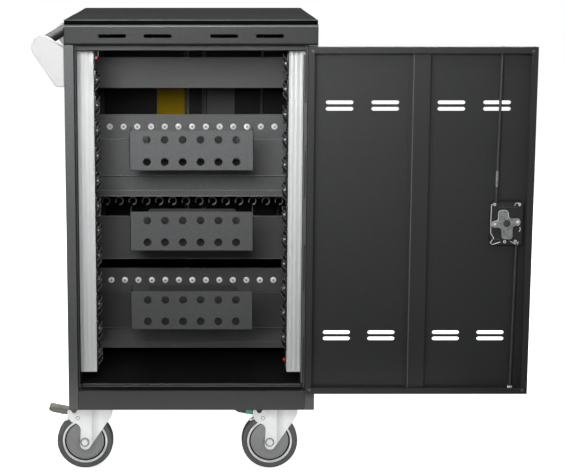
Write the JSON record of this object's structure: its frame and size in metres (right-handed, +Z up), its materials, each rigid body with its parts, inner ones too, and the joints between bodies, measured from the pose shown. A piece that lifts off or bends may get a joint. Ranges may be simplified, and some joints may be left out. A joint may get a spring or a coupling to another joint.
{
  "type": "laptop charging cart",
  "caption": "Charcoal steel laptop charging cart with a door open on hung adapter baskets and power strips, device shelves behind, a side handle and swivel casters.",
  "frame": {"origin": "bottom centre of the whole box, on the floor, with the power-side door open as pictured", "axes": "+X to the right as seen from the power side, towards the open door; +Y from the power side to the device side; +Z up"},
  "size_m": [1.0808, 0.6556, 1.0213],
  "materials": {
    "charcoal_coat": "fine textured charcoal powder coat",
    "zinc_steel": "bright zinc plate",
    "dark_steel": "satin black coat",
    "pdu_aluminium": "light satin anodised, ribbed",
    "white_plastic": "white moulded, satin",
    "black_plastic": "black moulded, satin",
    "red_plastic": "red gloss",
    "tyre_rubber": "dark grey non-marking rubber",
    "wheel_plastic": "mid grey moulded",
    "pedal_plastic": "olive grey moulded"
  },
  "bodies": {
    "cabinet": {"base_tray": "charcoal_coat", "cable_clip_strip": "black_plastic", "floor_panel": "charcoal_coat", "front_frame_hinge": "charcoal_coat", "front_top_rail": "charcoal_coat", "handle_front_bracket": "white_plastic", "handle_rear_bracket": "white_plastic", "handle_tube": "dark_steel", "left_outlet_bank": "black_plastic", "left_pdu": "pdu_aluminium", "left_side_panel": "charcoal_coat", "lower_basket": "charcoal_coat", "lower_carrier": "charcoal_coat", "lower_divider_rack": "black_plastic", "lower_shelf": "charcoal_coat", "middle_basket": "charcoal_coat", "middle_carrier": "charcoal_coat", "rear_frame_hinge": "charcoal_coat", "rear_top_rail": "charcoal_coat", "right_outlet_bank": "black_plastic", "right_pdu": "pdu_aluminium", "right_side_panel": "charcoal_coat", "top_cover": "charcoal_coat", "top_cross_panel": "charcoal_coat", "upper_basket": "charcoal_coat", "upper_carrier": "charcoal_coat", "upper_divider_rack": "black_plastic", "upper_shelf": "charcoal_coat"},
    "rear_door": {"rear_door_panel": "charcoal_coat", "rear_door_hinge": "charcoal_coat", "rear_lock_plate": "dark_steel"},
    "rear_lock": {"rear_lock_cam": "zinc_steel", "rear_lock_handle": "black_plastic"},
    "rear_upper_bolt": {"rear_upper_rod": "zinc_steel"},
    "rear_lower_bolt": {"rear_lower_rod": "zinc_steel"},
    "front_door": {"front_door_panel": "charcoal_coat", "front_door_hinge": "charcoal_coat", "front_lock_plate": "dark_steel"},
    "front_lock": {"front_lock_cam": "zinc_steel", "front_lock_handle": "black_plastic"},
    "front_upper_bolt": {"front_upper_rod": "zinc_steel"},
    "front_lower_bolt": {"front_lower_rod": "zinc_steel"},
    "rear_left_fork": {"rear_left_caster_fork": "zinc_steel"},
    "rear_left_wheel": {"rear_left_caster_hub": "wheel_plastic", "rear_left_caster_tyre": "tyre_rubber"},
    "rear_left_brake": {"rear_left_brake_pedal": "pedal_plastic"},
    "rear_right_fork": {"rear_right_caster_fork": "zinc_steel"},
    "rear_right_wheel": {"rear_right_caster_hub": "wheel_plastic", "rear_right_caster_tyre": "tyre_rubber"},
    "rear_right_brake": {"rear_right_brake_pedal": "pedal_plastic"},
    "front_left_fork": {"front_left_caster_fork": "zinc_steel"},
    "front_left_wheel": {"front_left_caster_hub": "wheel_plastic", "front_left_caster_tyre": "tyre_rubber"},
    "front_right_fork": {"front_right_caster_fork": "zinc_steel"},
    "front_right_wheel": {"front_right_caster_hub": "wheel_plastic", "front_right_caster_tyre": "tyre_rubber"},
    "left_switch": {"left_rocker_switch": "red_plastic"},
    "right_switch": {"right_rocker_switch": "red_plastic"}
  },
  "joints": [
    {"name": "rear_door_hinge", "type": "hinge", "parent": "cabinet", "child": "rear_door", "pos_m": [0.04657, -0.2993, 0.585], "axis": [0, 0, 1], "range_deg": [-180, 0]},
    {"name": "front_door_hinge", "type": "hinge", "parent": "cabinet", "child": "front_door", "pos_m": [-0.44143, 0.3077, 0.585], "axis": [0, 0, 1], "range_deg": [0, 180]},
    {"name": "rear_lock_turn", "type": "hinge", "parent": "rear_door", "child": "rear_lock", "pos_m": [0.48537, -0.3203, 0.585], "axis": [0, 1, 0], "range_deg": [0, 90]},
    {"name": "rear_upper_bolt_slide", "type": "slide", "parent": "rear_door", "child": "rear_upper_bolt", "axis": [0.0127, 0, 0.9999], "range_m": [0, 0.015]},
    {"name": "rear_lower_bolt_slide", "type": "slide", "parent": "rear_door", "child": "rear_lower_bolt", "axis": [-0.0127, 0, -0.9999], "range_m": [0, 0.015]},
    {"name": "front_lock_turn", "type": "hinge", "parent": "front_door", "child": "front_lock", "pos_m": [-0.00263, 0.2867, 0.585], "axis": [0, 1, 0], "range_deg": [0, 90]},
    {"name": "front_upper_bolt_slide", "type": "slide", "parent": "front_door", "child": "front_upper_bolt", "axis": [0.0127, 0, 0.9999], "range_m": [0, 0.015]},
    {"name": "front_lower_bolt_slide", "type": "slide", "parent": "front_door", "child": "front_lower_bolt", "axis": [-0.0127, 0, -0.9999], "range_m": [0, 0.015]},
    {"name": "rear_left_swivel", "type": "hinge", "parent": "cabinet", "child": "rear_left_fork", "pos_m": [-0.40743, -0.2158, 0.1454], "axis": [0, 0, 1], "continuous": true},
    {"name": "rear_left_roll", "type": "hinge", "parent": "rear_left_fork", "child": "rear_left_wheel", "pos_m": [-0.44043, -0.2158, 0.0635], "axis": [0, 1, 0], "continuous": true},
    {"name": "rear_left_brake_tip", "type": "hinge", "parent": "rear_left_fork", "child": "rear_left_brake", "pos_m": [-0.45943, -0.2158, 0.1314], "axis": [0, -1, 0], "range_deg": [0, 8]},
    {"name": "rear_right_swivel", "type": "hinge", "parent": "cabinet", "child": "rear_right_fork", "pos_m": [0.01257, -0.2158, 0.1454], "axis": [0, 0, 1], "continuous": true},
    {"name": "rear_right_roll", "type": "hinge", "parent": "rear_right_fork", "child": "rear_right_wheel", "pos_m": [-0.02043, -0.2158, 0.0635], "axis": [0, 1, 0], "continuous": true},
    {"name": "rear_right_brake_tip", "type": "hinge", "parent": "rear_right_fork", "child": "rear_right_brake", "pos_m": [-0.03943, -0.2158, 0.1314], "axis": [0, -1, 0], "range_deg": [0, 8]},
    {"name": "front_left_swivel", "type": "hinge", "parent": "cabinet", "child": "front_left_fork", "pos_m": [-0.40743, 0.2242, 0.1454], "axis": [0, 0, 1], "continuous": true},
    {"name": "front_left_roll", "type": "hinge", "parent": "front_left_fork", "child": "front_left_wheel", "pos_m": [-0.44043, 0.2242, 0.0635], "axis": [0, 1, 0], "continuous": true},
    {"name": "front_right_swivel", "type": "hinge", "parent": "cabinet", "child": "front_right_fork", "pos_m": [0.01257, 0.2242, 0.1454], "axis": [0, 0, 1], "continuous": true},
    {"name": "front_right_roll", "type": "hinge", "parent": "front_right_fork", "child": "front_right_wheel", "pos_m": [-0.02043, 0.2242, 0.0635], "axis": [0, 1, 0], "continuous": true},
    {"name": "left_switch_rock", "type": "hinge", "parent": "cabinet", "child": "left_switch", "pos_m": [-0.41113, -0.2088, 0.934], "axis": [0, -1, 0], "range_deg": [0, 13.75]},
    {"name": "right_switch_rock", "type": "hinge", "parent": "cabinet", "child": "right_switch", "pos_m": [0.01627, -0.2088, 0.252], "axis": [0, -1, 0], "range_deg": [0, 13.75]}
  ],
  "couplings": [
    {"joint": "rear_lock_turn", "follows": "rear_upper_bolt_slide", "rad_per_m": 104.72},
    {"joint": "rear_lower_bolt_slide", "follows": "rear_upper_bolt_slide", "ratio": 1},
    {"joint": "front_lock_turn", "follows": "front_upper_bolt_slide", "rad_per_m": 104.72},
    {"joint": "front_lower_bolt_slide", "follows": "front_upper_bolt_slide", "ratio": 1}
  ]
}
